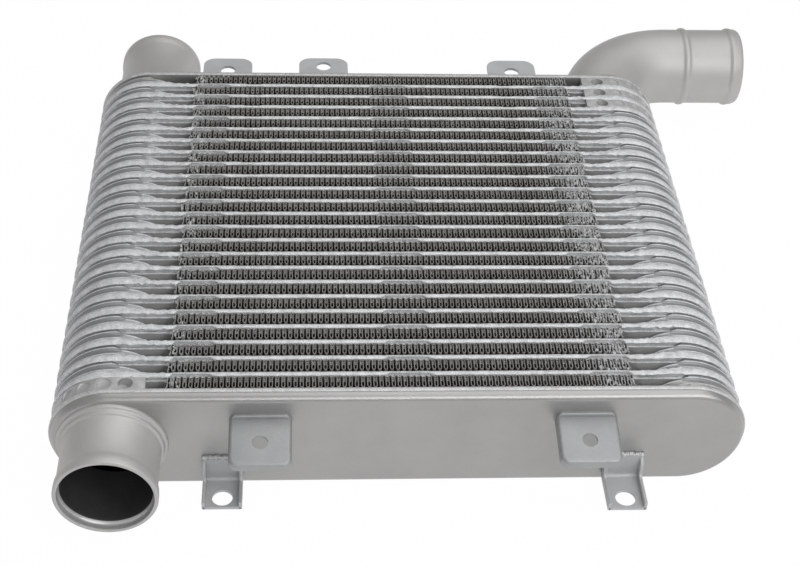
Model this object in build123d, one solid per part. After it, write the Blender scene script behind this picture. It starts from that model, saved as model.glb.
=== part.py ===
from build123d import *
import math
import os

# Air-to-air intercooler with a drawn-cup core. Millimetres, +Z up.
# The outlet elbow points along +X and the open front hose stub points along -Y.
# The core is worked out from its own middle in X, and from the front tube in Y.
# At the end every piece moves by one shift, so that the origin is the middle of the
# underside of the whole part.

# Core
CORE_WIDTH = 420.0
CORE_HEIGHT = 76.0
TUBE_COUNT = 23
TUBE_PITCH = 13.9
LIP_THICKNESS = 3.0
LIP_REACH = 4.0
TUBE_THICKNESS = 4.6
TUBE_WALL = 0.8
END_SIDES = 6

# Header cups and the air holes through them
CUP_RIM_STEP = 1.2
CUP_INNER_REACH = 27.0
CUP_INNER_SIDES = 3
HOLE_OUTER_RADIUS = 28.0
HOLE_INNER_REACH = 22.0
HOLE_SIDES = 3

# Corrugated fin rows
FIN_CUP_CLEARANCE = 8.0
FIN_FOLDS = 6
FIN_CREST_FLAT = 1.6
FIN_CREST_WALL = 0.45
FIN_RIM_STEP = 0.4

# End plates: a flat back with the lip, and a shallow dish brazed on it
DISH_INSET = 1.2
DISH_DEPTH = 5.0
DISH_CHAMFER = 1.8
DISH_SHEET = 2.0
PLATE_SIDES = 10

# Hose stubs
REAR_STUB_INSET = 2.0
STUB_BORE_RADIUS = 26.75
STUB_NECK_RADIUS = 29.25
STUB_BEAD_RADIUS = 30.35
STUB_BEAD_WIDTH = 3.2
STUB_FLARE_RADIUS = 34.0
STUB_FLARE_LENGTH = 2.6
STUB_STEP_RADIUS = 31.2
STUB_STEP_LENGTH = 3.0
STUB_SIDES = 20
FRONT_STUB_LENGTH = 43.0
REAR_STUB_LENGTH = 60.0

# Outlet elbow
ELBOW_RADIUS = 29.4
ELBOW_BORE_RADIUS = 26.75
ELBOW_BEND_RADIUS = 62.0
ELBOW_BEND_STEPS = 4
ELBOW_LEAD = 5.0
ELBOW_STRAIGHT = 58.0
ELBOW_BEAD_RADIUS = 30.85
ELBOW_BEAD_WIDTH = 3.4
ELBOW_MID_BEAD_INSET = 45.0
ELBOW_END_BEAD_INSET = 7.5
ELBOW_SIDES = 16

# Perforated header spacers
SPACER_INNER_REACH = 21.0
SPACER_RADIUS = 37.2
SPACER_HOLE_RADIUS = 4.3
SPACER_HOLE_DEPTH = 4.5
SPACER_HOLE_STEP = 19.0
SPACER_HOLE_FIRST = -14.0
SPACER_HOLE_COUNT = 4
SPACER_HOLE_SIDES = 6
REAR_SPACER_COUNT = 3

# Brackets, all of folded sheet
SHEET = 2.0
SHELF_X = (-84.0, 109.2)
SHELF_WIDTH = 36.8
SHELF_REACH = 34.0
SHELF_TOP_Z = 60.0
SHELF_DROP_DEG = 11.0
SHELF_TURN_DOWN = 6.0
SHELF_CORNER = 5.0
SHELF_RISE = 3.0
SHELF_RISE_INSET = 1.5
CORNER_SIDES = 3
SHELF_HOLE_RADIUS = 4.65
SHELF_HOLE_REACH = 18.5
FOOT_X = (-107.5, 136.5)
FOOT_WIDTH = 24.0
FOOT_REACH = (24.5, 28.5)
FOOT_TOP_Z = 25.0
FOOT_SEAT_Z = 8.0
FOOT_FLANGE = 6.0
FOOT_HOLE_RADIUS = 6.25
FOOT_HOLE_REACH = (17.0, 20.5)
TAB_WIDTH = 37.0
TAB_CORNER = 9.0
TAB_HOLE_RADIUS = 5.6
TAB_ROOT_HEIGHT = 10.0
SIDE_TAB_X = (-116.0, 102.5)
SIDE_TAB_TOP_Z = 62.0
SIDE_TAB_REACH = 35.8
SIDE_TAB_HOLE_REACH = 19.8
MID_TAB_X = -43.0
MID_TAB_TOP_Z = 68.0
MID_TAB_REACH = 27.8
MID_TAB_HOLE_REACH = 16.8

# Derived places
MID_Z = CORE_HEIGHT / 2
LIP_RADIUS = CORE_HEIGHT / 2
END_X = CORE_WIDTH / 2 - LIP_RADIUS
BODY_RADIUS = LIP_RADIUS - LIP_REACH
CUP_RADIUS = LIP_RADIUS - CUP_RIM_STEP
FIN_HALF_LENGTH = END_X - CUP_INNER_REACH - FIN_CUP_CLEARANCE
SPACER_END_X = END_X - SPACER_INNER_REACH
FRONT_STUB_X = -END_X
REAR_STUB_X = REAR_STUB_INSET - END_X
OUTLET_AXIS_X = END_X
ELBOW_END_X = OUTLET_AXIS_X + ELBOW_BEND_RADIUS + ELBOW_STRAIGHT
ELBOW_MID_BEAD_X = ELBOW_END_X - ELBOW_MID_BEAD_INSET
ELBOW_END_BEAD_X = ELBOW_END_X - ELBOW_END_BEAD_INSET
HALF_PITCH = TUBE_PITCH / 2
REAR_TUBE_Y = (TUBE_COUNT - 1) * TUBE_PITCH
FRONT_PLATE_Y = -TUBE_PITCH
REAR_PLATE_Y = REAR_TUBE_Y + TUBE_PITCH
FRONT_FACE_Y = FRONT_PLATE_Y - LIP_THICKNESS / 2 - DISH_DEPTH
REAR_FACE_Y = REAR_PLATE_Y + LIP_THICKNESS / 2 + DISH_DEPTH
ELBOW_AXIS_Y = REAR_FACE_Y + ELBOW_LEAD + ELBOW_BEND_RADIUS
FRONT_END_Y = FRONT_FACE_Y - FRONT_STUB_LENGTH
REAR_END_Y = ELBOW_AXIS_Y + ELBOW_BEAD_RADIUS
SHIFT = Vector(
    -(ELBOW_END_X - CORE_WIDTH / 2) / 2,
    -(FRONT_END_Y + REAR_END_Y) / 2,
    0,
)


def prism(points, y_from, y_to):
    """Solid between two Y planes with the outline given as X, Z points."""
    wire = Wire.make_polygon([Vector(x, y_from, z) for x, z in points], close=True)
    return Solid.extrude(Face(wire), Vector(0, y_to - y_from, 0))


def arc_points(middle_x, reach_x, reach_z, sides, side):
    """Half an ellipse on the chosen side of middle_x, from the bottom to the top.

    With an odd number of sides the flat at its far end lies at the full reach.
    """
    points = []
    if sides % 2:
        reach_x /= math.cos(math.pi / sides / 2)
    for step in range(sides + 1):
        turn = -math.pi / 2 + math.pi * step / sides
        x = middle_x + side * reach_x * math.cos(turn)
        points.append((x, MID_Z + reach_z * math.sin(turn)))
    return points


def stadium(radius, sides=END_SIDES):
    """Outline of a tube plate: straight top and bottom with round ends."""
    right = arc_points(END_X, radius, radius, sides, 1)
    left = arc_points(-END_X, radius, radius, sides, -1)
    return right + left[::-1]


def header_outline(side, outer_radius, inner_reach, outer_sides, inner_sides):
    """Closed outline round a header: round outside, flatter towards the fins."""
    outer = arc_points(side * END_X, outer_radius, outer_radius, outer_sides, side)
    inner = arc_points(side * END_X, inner_reach, outer_radius, inner_sides, -side)
    return outer + inner[-2:0:-1]


def cup_outline(side):
    return header_outline(side, CUP_RADIUS, CUP_INNER_REACH, END_SIDES, CUP_INNER_SIDES)


def hole_outline(side):
    return header_outline(side, HOLE_OUTER_RADIUS, HOLE_INNER_REACH, HOLE_SIDES, HOLE_SIDES)


def air_space(middle_y):
    """The flat space between the two plates of a tube, as tall as the header holes."""
    half = TUBE_THICKNESS / 2 - TUBE_WALL
    low = MID_Z - HOLE_OUTER_RADIUS
    high = MID_Z + HOLE_OUTER_RADIUS
    outline = [(-END_X, low), (END_X, low), (END_X, high), (-END_X, high)]
    return prism(outline, middle_y - half, middle_y + half)


def has_cup(index, side, towards_front):
    """Tube 0 is the rear one. Spacers take the place of the cups in four gaps."""
    gap = index + 1 if towards_front else index
    if side > 0:
        return gap >= REAR_SPACER_COUNT
    return gap < TUBE_COUNT


def tube(index):
    """Two plates brazed into one flat tube, with drawn cups at both ends."""
    middle_y = REAR_TUBE_Y - index * TUBE_PITCH
    lip = prism(stadium(LIP_RADIUS), middle_y - LIP_THICKNESS / 2, middle_y + LIP_THICKNESS / 2)
    half = TUBE_THICKNESS / 2
    body = prism(stadium(BODY_RADIUS), middle_y - half, middle_y + half)
    solid = lip + body
    for side in (-1, 1):
        front = HALF_PITCH if has_cup(index, side, True) else half
        rear = HALF_PITCH if has_cup(index, side, False) else half
        solid = solid + prism(cup_outline(side), middle_y - front, middle_y + rear)
    for side in (-1, 1):
        solid = solid - prism(hole_outline(side), middle_y - HALF_PITCH, middle_y + HALF_PITCH)
    return solid - air_space(middle_y)


def fin_row(index):
    """One folded strip between two tubes, with flats where its folds are brazed."""
    middle_y = REAR_TUBE_Y + HALF_PITCH - index * TUBE_PITCH
    rear = HALF_PITCH - TUBE_THICKNESS / 2
    front = rear
    if index == 0:
        rear = HALF_PITCH - LIP_THICKNESS / 2
    if index == TUBE_COUNT:
        front = HALF_PITCH - LIP_THICKNESS / 2
    run = 2 * FIN_HALF_LENGTH / FIN_FOLDS
    rear_edge = []
    front_edge = []
    for fold in range(FIN_FOLDS + 1):
        x = -FIN_HALF_LENGTH + fold * run
        left = max(x - FIN_CREST_FLAT / 2, -FIN_HALF_LENGTH)
        right = min(x + FIN_CREST_FLAT / 2, FIN_HALF_LENGTH)
        if fold % 2:
            rear_edge += [(left, rear), (right, rear)]
            front_edge.append((x, rear - FIN_CREST_WALL))
        else:
            rear_edge.append((x, -front + FIN_CREST_WALL))
            front_edge += [(left, -front), (right, -front)]
    outline = [Vector(x, middle_y + y, FIN_RIM_STEP) for x, y in rear_edge + front_edge[::-1]]
    face = Face(Wire.make_polygon(outline, close=True))
    return Solid.extrude(face, Vector(0, 0, CORE_HEIGHT - 2 * FIN_RIM_STEP))


def end_plate(lip_y, out):
    """Closing plate of the core. out is -1 at the front and 1 at the rear."""
    half = LIP_THICKNESS / 2
    dish_from = lip_y + out * half
    face_y = dish_from + out * DISH_DEPTH
    lip = prism(stadium(LIP_RADIUS, PLATE_SIDES), lip_y - half, lip_y + half)
    dish_outline = stadium(LIP_RADIUS - DISH_INSET, PLATE_SIDES)
    dish = prism(dish_outline, min(dish_from, face_y), max(dish_from, face_y))
    face_edges = dish.edges().group_by(Axis.Y)[0 if out < 0 else -1]
    dish = chamfer(face_edges, DISH_CHAMFER)
    plate = lip + dish
    inner = prism(
        stadium(BODY_RADIUS - DISH_SHEET),
        min(dish_from, face_y - out * DISH_SHEET),
        max(dish_from, face_y - out * DISH_SHEET),
    )
    plate = plate - inner
    cup_side = 1 if out < 0 else -1
    cup_from = lip_y - out * half
    cup_to = lip_y - out * HALF_PITCH
    plate = plate + prism(cup_outline(cup_side), min(cup_from, cup_to), max(cup_from, cup_to))
    for side in (-1, 1):
        ends = (cup_to, dish_from)
        plate = plate - prism(hole_outline(side), min(ends), max(ends))
    port = Rot(90, 0, 0) * pipe_band(STUB_BORE_RADIUS, -1.5 * DISH_SHEET, 3 * DISH_SHEET)
    stub_x = FRONT_STUB_X if out < 0 else REAR_STUB_X
    plate = plate - Pos(stub_x, face_y, MID_Z) * port
    if out > 0:
        plate = plate - Pos(OUTLET_AXIS_X, face_y, MID_Z) * port
    return plate


def ring_points(radius, sides=STUB_SIDES):
    """Corners of a regular outline round the origin."""
    return [
        (radius * math.cos(2 * math.pi * step / sides), radius * math.sin(2 * math.pi * step / sides))
        for step in range(sides)
    ]


def pipe_band(radius, start, length, sides=STUB_SIDES):
    """Many-sided disc along +Z, used where a true round would cost too many facets."""
    corners = [Vector(x, y, start) for x, y in ring_points(radius, sides)]
    face = Face(Wire.make_polygon(corners, close=True))
    return Solid.extrude(face, Vector(0, 0, length))


def hose_stub(length):
    """Straight hose stub along +Z with a stepped foot and a bead at its mouth."""
    solid = pipe_band(STUB_FLARE_RADIUS, 0, STUB_FLARE_LENGTH)
    solid = solid + pipe_band(STUB_STEP_RADIUS, STUB_FLARE_LENGTH, STUB_STEP_LENGTH)
    solid = solid + pipe_band(STUB_NECK_RADIUS, 0, length - STUB_BEAD_WIDTH)
    bead_middle = length - STUB_BEAD_WIDTH / 2
    solid = solid + Pos(0, 0, bead_middle) * Cylinder(STUB_BEAD_RADIUS, STUB_BEAD_WIDTH)
    return solid - pipe_band(STUB_BORE_RADIUS, 0, length)


def front_hose_stub():
    place = Pos(FRONT_STUB_X, FRONT_FACE_Y, MID_Z) * Rot(90, 0, 0)
    return place * hose_stub(FRONT_STUB_LENGTH)


def rear_hose_stub():
    place = Pos(REAR_STUB_X, REAR_FACE_Y, MID_Z) * Rot(-90, 0, 0)
    return place * hose_stub(REAR_STUB_LENGTH)


def elbow_ring(radius, turn_deg, along):
    """Corners round the elbow. It starts at the dish, and turns towards +X."""
    turn = math.radians(turn_deg)
    bend_y = REAR_FACE_Y + ELBOW_LEAD
    centre_x = OUTLET_AXIS_X + ELBOW_BEND_RADIUS
    points = []
    for across, up in ring_points(radius, ELBOW_SIDES):
        reach = ELBOW_BEND_RADIUS + across
        x = centre_x - reach * math.cos(turn)
        y = bend_y + reach * math.sin(turn)
        x += along * math.sin(turn)
        y += along * math.cos(turn)
        points.append(Vector(x, y, MID_Z + up))
    return points


def bent_bar(radius):
    """Solid bent bar with flat sides, from the dish to the straight end."""
    rings = [elbow_ring(radius, 0, -ELBOW_LEAD)]
    for step in range(ELBOW_BEND_STEPS + 1):
        rings.append(elbow_ring(radius, 90 * step / ELBOW_BEND_STEPS, 0))
    rings.append(elbow_ring(radius, 90, ELBOW_STRAIGHT))
    faces = [Face(Wire.make_polygon(ring, close=True)) for ring in (rings[0], rings[-1])]
    for near, far in zip(rings, rings[1:]):
        for side in range(ELBOW_SIDES):
            corners = [near[side - 1], near[side], far[side], far[side - 1]]
            faces.append(Face(Wire.make_polygon(corners, close=True)))
    return Solid(Shell(faces))


def outlet_elbow():
    """Bent outlet pipe with two hose beads on its straight end."""
    mid_bead = pipe_band(ELBOW_BEAD_RADIUS, -ELBOW_BEAD_WIDTH / 2, ELBOW_BEAD_WIDTH, ELBOW_SIDES)
    end_bead = Cylinder(ELBOW_BEAD_RADIUS, ELBOW_BEAD_WIDTH)
    solid = bent_bar(ELBOW_RADIUS)
    for x, bead in ((ELBOW_MID_BEAD_X, mid_bead), (ELBOW_END_BEAD_X, end_bead)):
        solid = solid + Pos(x, ELBOW_AXIS_Y, MID_Z) * Rot(0, 90, 0) * bead
    return solid - bent_bar(ELBOW_BORE_RADIUS)


def spacer(side, y_from, y_to):
    """Block that stands in for a pair of cups, with blind holes in its rim."""
    outline = arc_points(side * END_X, SPACER_RADIUS, SPACER_RADIUS, END_SIDES, side)
    outline += [(side * SPACER_END_X, MID_Z + SPACER_RADIUS), (side * SPACER_END_X, MID_Z - SPACER_RADIUS)]
    solid = prism(outline, y_from, y_to) - prism(hole_outline(side), y_from, y_to)
    middle_y = (y_from + y_to) / 2
    for step in range(SPACER_HOLE_COUNT):
        turn = math.radians(90 - SPACER_HOLE_FIRST - step * SPACER_HOLE_STEP)
        place = Pos(
            side * (END_X + SPACER_RADIUS * math.cos(turn)),
            middle_y,
            MID_Z + SPACER_RADIUS * math.sin(turn),
        )
        aim = Rot(0, side * (90 - math.degrees(turn)), 0)
        drill = pipe_band(SPACER_HOLE_RADIUS, -SPACER_HOLE_DEPTH, 2 * SPACER_HOLE_DEPTH, SPACER_HOLE_SIDES)
        solid = solid - place * aim * drill
    return solid


def front_spacer():
    rear = -TUBE_THICKNESS / 2
    front = FRONT_PLATE_Y + LIP_THICKNESS / 2
    return spacer(-1, front, rear)


def rear_spacer(gap):
    """gap 0 is the one against the rear end plate."""
    middle = REAR_TUBE_Y + HALF_PITCH - gap * TUBE_PITCH
    rear = middle + HALF_PITCH - (LIP_THICKNESS if gap == 0 else TUBE_THICKNESS) / 2
    return spacer(1, middle - HALF_PITCH + TUBE_THICKNESS / 2, rear)


def rounded_tongue(width, reach, corner):
    """Outline in X, Y of a plate that starts at Y 0 and has two rounded far corners."""
    half = width / 2
    points = [(half, 0)]
    for step in range(CORNER_SIDES + 1):
        turn = math.radians(90 * step / CORNER_SIDES)
        points.append((half - corner * (1 - math.cos(turn)), reach - corner * (1 - math.sin(turn))))
    return points + [(-x, y) for x, y in points[::-1]]


def plate_solid(points, z_from, height, out=1):
    """Plate with the given X, Y outline. out is -1 where it reaches towards -Y."""
    wire = Wire.make_polygon([Vector(x, out * y, z_from) for x, y in points], close=True)
    return Solid.extrude(Face(wire), Vector(0, 0, height))


def shelf_bracket(x):
    """Shallow tray on the front face: a sloping top, its rim turned down, its root turned up."""
    outline = rounded_tongue(SHELF_WIDTH, SHELF_REACH, SHELF_CORNER)
    block = plate_solid(outline, -SHELF_TURN_DOWN, SHELF_TURN_DOWN, -1)
    inside = Pos(0, -(SHELF_REACH - SHEET) / 2, -SHEET - SHELF_TURN_DOWN / 2)
    tray = block - inside * Box(SHELF_WIDTH - 2 * SHEET, SHELF_REACH - SHEET, SHELF_TURN_DOWN)
    drill = Cylinder(SHELF_HOLE_RADIUS, 3 * SHEET)
    tray = tray - Pos(0, -SHELF_HOLE_REACH, 0) * drill
    tray = Pos(x, FRONT_FACE_Y, SHELF_TOP_Z) * Rot(SHELF_DROP_DEG, 0, 0) * tray
    behind = Box(2 * SHELF_WIDTH, 4 * SHEET, 4 * SHELF_TURN_DOWN)
    tray = tray - Pos(x, FRONT_FACE_Y + 2 * SHEET, SHELF_TOP_Z) * behind
    half = SHELF_WIDTH / 2 - SHELF_RISE_INSET
    low = SHELF_TOP_Z - SHEET
    high = SHELF_TOP_Z + SHELF_RISE
    rise = [(-half, low), (half, low), (half, high - SHEET), (half - SHEET, high)]
    rise += [(SHEET - half, high), (-half, high - SHEET)]
    return tray + Pos(x, 0, 0) * prism(rise, FRONT_FACE_Y - SHEET, FRONT_FACE_Y)


def foot_bracket(x, reach, hole_reach):
    """Channel strip: a web on the front face, then a flat foot with side flanges."""
    drop = FOOT_TOP_Z - FOOT_SEAT_Z + SHEET
    web = Pos(0, -SHEET / 2, -drop / 2) * Box(FOOT_WIDTH, SHEET, drop)
    foot = Pos(0, -reach / 2, SHEET / 2 - drop) * Box(FOOT_WIDTH, reach, SHEET)
    solid = web + foot
    side_outline = [
        (0, 0),
        (-FOOT_FLANGE, -1.5 * SHEET),
        (-FOOT_FLANGE, FOOT_FLANGE - drop),
        (-reach, FOOT_FLANGE - drop),
        (-reach, -drop),
        (0, -drop),
    ]
    for side in (-1, 1):
        at_x = side * (FOOT_WIDTH - SHEET) / 2 - SHEET / 2
        wire = Wire.make_polygon([Vector(at_x, y, z) for y, z in side_outline], close=True)
        solid = solid + Solid.extrude(Face(wire), Vector(SHEET, 0, 0))
    solid = solid - Pos(0, -hole_reach, -drop) * Cylinder(FOOT_HOLE_RADIUS, 3 * SHEET)
    return Pos(x, FRONT_FACE_Y, FOOT_TOP_Z) * solid


def rear_tab(x, top_z, reach, hole_reach):
    """Flat lug on the rear face, with its root turned down for the weld."""
    outline = rounded_tongue(TAB_WIDTH, reach, TAB_CORNER)
    lug = plate_solid(outline, -SHEET, SHEET)
    lug = lug + Pos(0, SHEET / 2, -TAB_ROOT_HEIGHT / 2) * Box(TAB_WIDTH, SHEET, TAB_ROOT_HEIGHT)
    lug = lug - Pos(0, hole_reach, 0) * Cylinder(TAB_HOLE_RADIUS, 3 * SHEET)
    return Pos(x, REAR_FACE_Y, top_z) * lug


def rear_end_plate():
    """The rear plate carries the three fixing lugs."""
    plate = end_plate(REAR_PLATE_Y, 1)
    for x in SIDE_TAB_X:
        plate = plate + rear_tab(x, SIDE_TAB_TOP_Z, SIDE_TAB_REACH, SIDE_TAB_HOLE_REACH)
    return plate + rear_tab(MID_TAB_X, MID_TAB_TOP_Z, MID_TAB_REACH, MID_TAB_HOLE_REACH)


def make_pieces():
    """Every node by name, in the core's own place."""
    pieces = {}
    for index in range(TUBE_COUNT):
        pieces[f"tube_{index + 1:02d}"] = tube(index)
    for index in range(TUBE_COUNT + 1):
        pieces[f"fin_row_{index + 1:02d}"] = fin_row(index)
    pieces["front_end_plate"] = end_plate(FRONT_PLATE_Y, -1)
    pieces["rear_end_plate"] = rear_end_plate()
    pieces["front_hose_stub"] = front_hose_stub()
    pieces["rear_hose_stub"] = rear_hose_stub()
    pieces["outlet_elbow"] = outlet_elbow()
    pieces["front_header_spacer"] = front_spacer()
    for gap in range(REAR_SPACER_COUNT):
        pieces[f"rear_header_spacer_{gap + 1}"] = rear_spacer(gap)
    for name, x in zip(("left", "right"), SHELF_X):
        pieces[f"{name}_shelf_bracket"] = shelf_bracket(x)
    for name, x, reach, hole_reach in zip(("left", "right"), FOOT_X, FOOT_REACH, FOOT_HOLE_REACH):
        pieces[f"{name}_foot_bracket"] = foot_bracket(x, reach, hole_reach)
    return pieces


def main():
    os.makedirs("parts", exist_ok=True)
    for name, piece in make_pieces().items():
        export_step(Pos(SHIFT) * piece, f"parts/{name}.step")


if __name__ == "__main__":
    main()
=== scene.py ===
import math
import random
import bmesh
import bpy
from mathutils import Matrix, Vector, noise


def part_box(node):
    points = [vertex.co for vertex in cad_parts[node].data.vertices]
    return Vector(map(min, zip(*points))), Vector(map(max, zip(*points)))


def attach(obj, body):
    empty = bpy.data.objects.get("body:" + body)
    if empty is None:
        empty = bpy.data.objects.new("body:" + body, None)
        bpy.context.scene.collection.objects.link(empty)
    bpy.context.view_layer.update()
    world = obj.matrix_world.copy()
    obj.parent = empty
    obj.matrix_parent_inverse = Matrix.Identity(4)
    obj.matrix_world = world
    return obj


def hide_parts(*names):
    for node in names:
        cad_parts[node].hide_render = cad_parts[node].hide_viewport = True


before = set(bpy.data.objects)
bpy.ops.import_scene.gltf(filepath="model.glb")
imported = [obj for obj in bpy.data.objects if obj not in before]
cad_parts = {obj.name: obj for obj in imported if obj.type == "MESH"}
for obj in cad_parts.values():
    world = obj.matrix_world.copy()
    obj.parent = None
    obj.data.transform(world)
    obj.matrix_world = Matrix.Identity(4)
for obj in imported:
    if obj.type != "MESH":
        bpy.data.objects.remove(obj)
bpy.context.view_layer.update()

# Shapes and the camera's place are worked out in millimetres in the core's own place: x from the
# middle of the core, y from the front tube towards the rear, z up from the underside. TO_ROW puts
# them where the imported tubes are. Materials, lamps and the floor are in metres.


def middle_of(node):
    low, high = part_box(node)
    return (Vector(low) + Vector(high)) / 2


FRONT_TUBE = middle_of("tube_23")
REAR_TUBE = middle_of("tube_01")
TUBE_COUNT = 23
PITCH = (REAR_TUBE.y - FRONT_TUBE.y) * 1000 / (TUBE_COUNT - 1)
TO_ROW = Matrix.Translation((FRONT_TUBE.x, FRONT_TUBE.y, 0)) @ Matrix.Scale(0.001, 4)

MID_Z = 38.0
END_X = 172.0
HEADER_AXIS = {side: Vector((side * END_X, 0, MID_Z)) for side in (-1, 1)}
TUBE_HALF = 2.3
CLOSING_PLATE_HALF = 1.5
COVER_DEPTH = 6.5
FRONT_PLATE_Y = -PITCH
REAR_PLATE_Y = TUBE_COUNT * PITCH
FRONT_FACE_Y = FRONT_PLATE_Y - COVER_DEPTH
REAR_FACE_Y = REAR_PLATE_Y + COVER_DEPTH
LEFT_PORT_X = -END_X
LEFT_REAR_PORT_X = 2.0 - END_X
REAR_SPACER_COUNT = 3


def row_y(index):
    """Middle of a tube. Tube 0 is the rear one."""
    return (TUBE_COUNT - 1 - index) * PITCH


# Materials


def cloud(nodes, links, place, scale, detail=4.0, rough=0.6):
    """Noise from 0 to 1. A higher scale is finer."""
    texture = nodes.new("ShaderNodeTexNoise")
    texture.inputs["Scale"].default_value = scale
    texture.inputs["Detail"].default_value = detail
    texture.inputs["Roughness"].default_value = rough
    links.new(place, texture.inputs["Vector"])
    return texture.outputs["Fac"]


def spread(nodes, links, value, low, high, start=0.0, end=1.0):
    """Low where the value is at start, high where it is at end."""
    node = nodes.new("ShaderNodeMapRange")
    node.inputs["From Min"].default_value = start
    node.inputs["From Max"].default_value = end
    node.inputs["To Min"].default_value = low
    node.inputs["To Max"].default_value = high
    links.new(value, node.inputs["Value"])
    return node.outputs["Result"]


def worked_out(nodes, links, operation, *values):
    """A sum of numbers and other nodes' outputs."""
    node = nodes.new("ShaderNodeMath")
    node.operation = operation
    for socket, value in zip(node.inputs, values):
        if isinstance(value, float):
            socket.default_value = value
        else:
            links.new(value, socket)
    return node.outputs["Value"]


def two_greys(nodes, links, value, dark, light, warm):
    """Dark grey at the low end of a cloud and light grey at its high end."""
    node = nodes.new("ShaderNodeValToRGB")
    low, high = node.color_ramp.elements
    low.position, high.position = DARK_AT, LIGHT_AT
    for element, level in ((low, dark), (high, light)):
        element.color = (level * (1 + warm), level, level * (1 - warm), 1)
    links.new(value, node.inputs["Fac"])
    return node.outputs["Color"]


DARK_AT, LIGHT_AT = 0.3, 0.68
GRAIN_SHARE = 0.45
GRAIN_HEIGHT = 0.0004
GLOSSIER, DULLER = -0.08, 0.1


def bare_metal(name, dark, light, roughness, metallic, patch_scale, grain_scale, grain, warm=0.0):
    """Aluminium with cloudy patches, a fine grain and uneven gloss."""
    material = bpy.data.materials.new(name)
    material.use_nodes = True
    nodes, links = material.node_tree.nodes, material.node_tree.links
    shader = nodes["Principled BSDF"]
    shader.inputs["Metallic"].default_value = metallic
    place = nodes.new("ShaderNodeTexCoord").outputs["Object"]
    patches = cloud(nodes, links, place, patch_scale)
    specks = cloud(nodes, links, place, grain_scale, 3.0, 0.7)
    both = nodes.new("ShaderNodeMix")
    both.inputs[0].default_value = GRAIN_SHARE
    links.new(patches, both.inputs[2])
    links.new(specks, both.inputs[3])
    colour = two_greys(nodes, links, both.outputs[0], dark, light, warm)
    links.new(colour, shader.inputs["Base Color"])
    gloss = spread(nodes, links, patches, roughness + GLOSSIER, roughness + DULLER)
    links.new(gloss, shader.inputs["Roughness"])
    bump = nodes.new("ShaderNodeBump")
    bump.inputs["Strength"].default_value = grain
    bump.inputs["Distance"].default_value = GRAIN_HEIGHT
    links.new(specks, bump.inputs["Height"])
    links.new(bump.outputs["Normal"], shader.inputs["Normal"])
    return material


FLUX_MIDDLE = FRONT_TUBE.x - 0.01
FLUX_FROM, FLUX_FULL = 0.095, 0.135
FLUX_AT_END = 0.34
FLUX_EDGE = (0.68, 0.82)
FLUX_COLOUR = (0.45, 0.46, 0.45, 1)


def fin_sheet_metal():
    """Thin dull sheet. White flux lies on the last folds at both ends of each row."""
    material = bare_metal("fin_sheet", 0.17, 0.37, 0.5, 0.6, 90, 1500, 0.5, 0.04)
    nodes, links = material.node_tree.nodes, material.node_tree.links
    shader = nodes["Principled BSDF"]
    bare = shader.inputs["Base Color"].links[0].from_socket
    place = nodes.new("ShaderNodeTexCoord").outputs["Object"]
    split = nodes.new("ShaderNodeSeparateXYZ")
    links.new(place, split.inputs["Vector"])
    along = worked_out(nodes, links, "SUBTRACT", split.outputs["X"], FLUX_MIDDLE)
    away = worked_out(nodes, links, "ABSOLUTE", along)
    near_end = spread(nodes, links, away, 0.0, 1.0, FLUX_FROM, FLUX_FULL)
    crust = cloud(nodes, links, place, 260, 5.0, 0.7)
    total = worked_out(nodes, links, "MULTIPLY_ADD", near_end, FLUX_AT_END, crust)
    cover = spread(nodes, links, total, 0.0, 1.0, *FLUX_EDGE)
    blend = nodes.new("ShaderNodeMix")
    blend.data_type = "RGBA"
    blend.inputs[7].default_value = FLUX_COLOUR
    links.new(cover, blend.inputs[0])
    links.new(bare, blend.inputs[6])
    links.new(blend.outputs[2], shader.inputs["Base Color"])
    return material


# Dark grey, light grey, roughness, metallic, fineness of the patches and of the grain, depth of
# the grain, warmth of the grey
plate_metal = bare_metal("tube_plate_metal", 0.26, 0.38, 0.48, 0.75, 35, 1200, 0.25, -0.015)
# Light grey of the braze and flux on the tube lips. The same material also paints highlight lines
# on the tubes' shoulder ridges and cup ridges.
lip_and_highlight_metal = bare_metal("braze_and_painted_highlight_metal", 0.44, 0.86, 0.55, 0.4, 210, 900, 0.9, -0.01)
face_metal = bare_metal("tube_face_metal", 0.36, 0.54, 0.6, 0.15, 60, 1300, 0.35, 0.005)
fin_metal = fin_sheet_metal()
cover_metal = bare_metal("end_plate_metal", 0.33, 0.42, 0.34, 0.75, 22, 1600, 0.2, 0.01)
pipe_metal = bare_metal("pipe_metal", 0.45, 0.54, 0.52, 0.55, 26, 1800, 0.15, 0.012)
# Near-black grey that paints the shade deep inside the pipe stubs.
bore_shade_metal = bare_metal("painted_shade_bore_metal", 0.09, 0.15, 0.42, 0.7, 40, 1500, 0.2)
# Near white: paints the highlight ring in the groove inside each stub's rolled mouth.
mouth_highlight_metal = bare_metal("painted_highlight_mouth_ring", 0.78, 0.9, 0.3, 0.6, 60, 1500, 0.1)
spacer_metal = bare_metal("spacer_metal", 0.42, 0.56, 0.55, 0.6, 60, 1300, 0.35)
bracket_metal = bare_metal("bracket_metal", 0.32, 0.44, 0.52, 0.65, 40, 1500, 0.25, -0.01)
foot_metal = bare_metal("foot_metal", 0.43, 0.56, 0.5, 0.25, 40, 1500, 0.25, -0.015)
# Weld and braze colour of the beads and the cover rims. On the covers' cup ridges the same
# material paints highlight lines.
weld_and_highlight_metal = bare_metal("weld_and_highlight_metal", 0.42, 0.72, 0.5, 0.6, 300, 1200, 0.6)
flux_crust = bare_metal("flux_crust", 0.32, 0.64, 0.8, 0.0, 400, 1800, 0.9)


# Ways of shaping

MERGE = 0.005
ALMOST = 0.01


def verts_in(geometry):
    return [item for item in geometry if isinstance(item, bmesh.types.BMVert)]


def edges_in(geometry):
    return [item for item in geometry if isinstance(item, bmesh.types.BMEdge)]


def edges_of(verts):
    """The edges at some points, each once and in a fixed order."""
    return list(dict.fromkeys(edge for vert in verts for edge in vert.link_edges))


def edges_where(bm, test):
    return [edge for edge in bm.edges if test(edge.verts[0].co, edge.verts[1].co)]


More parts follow.
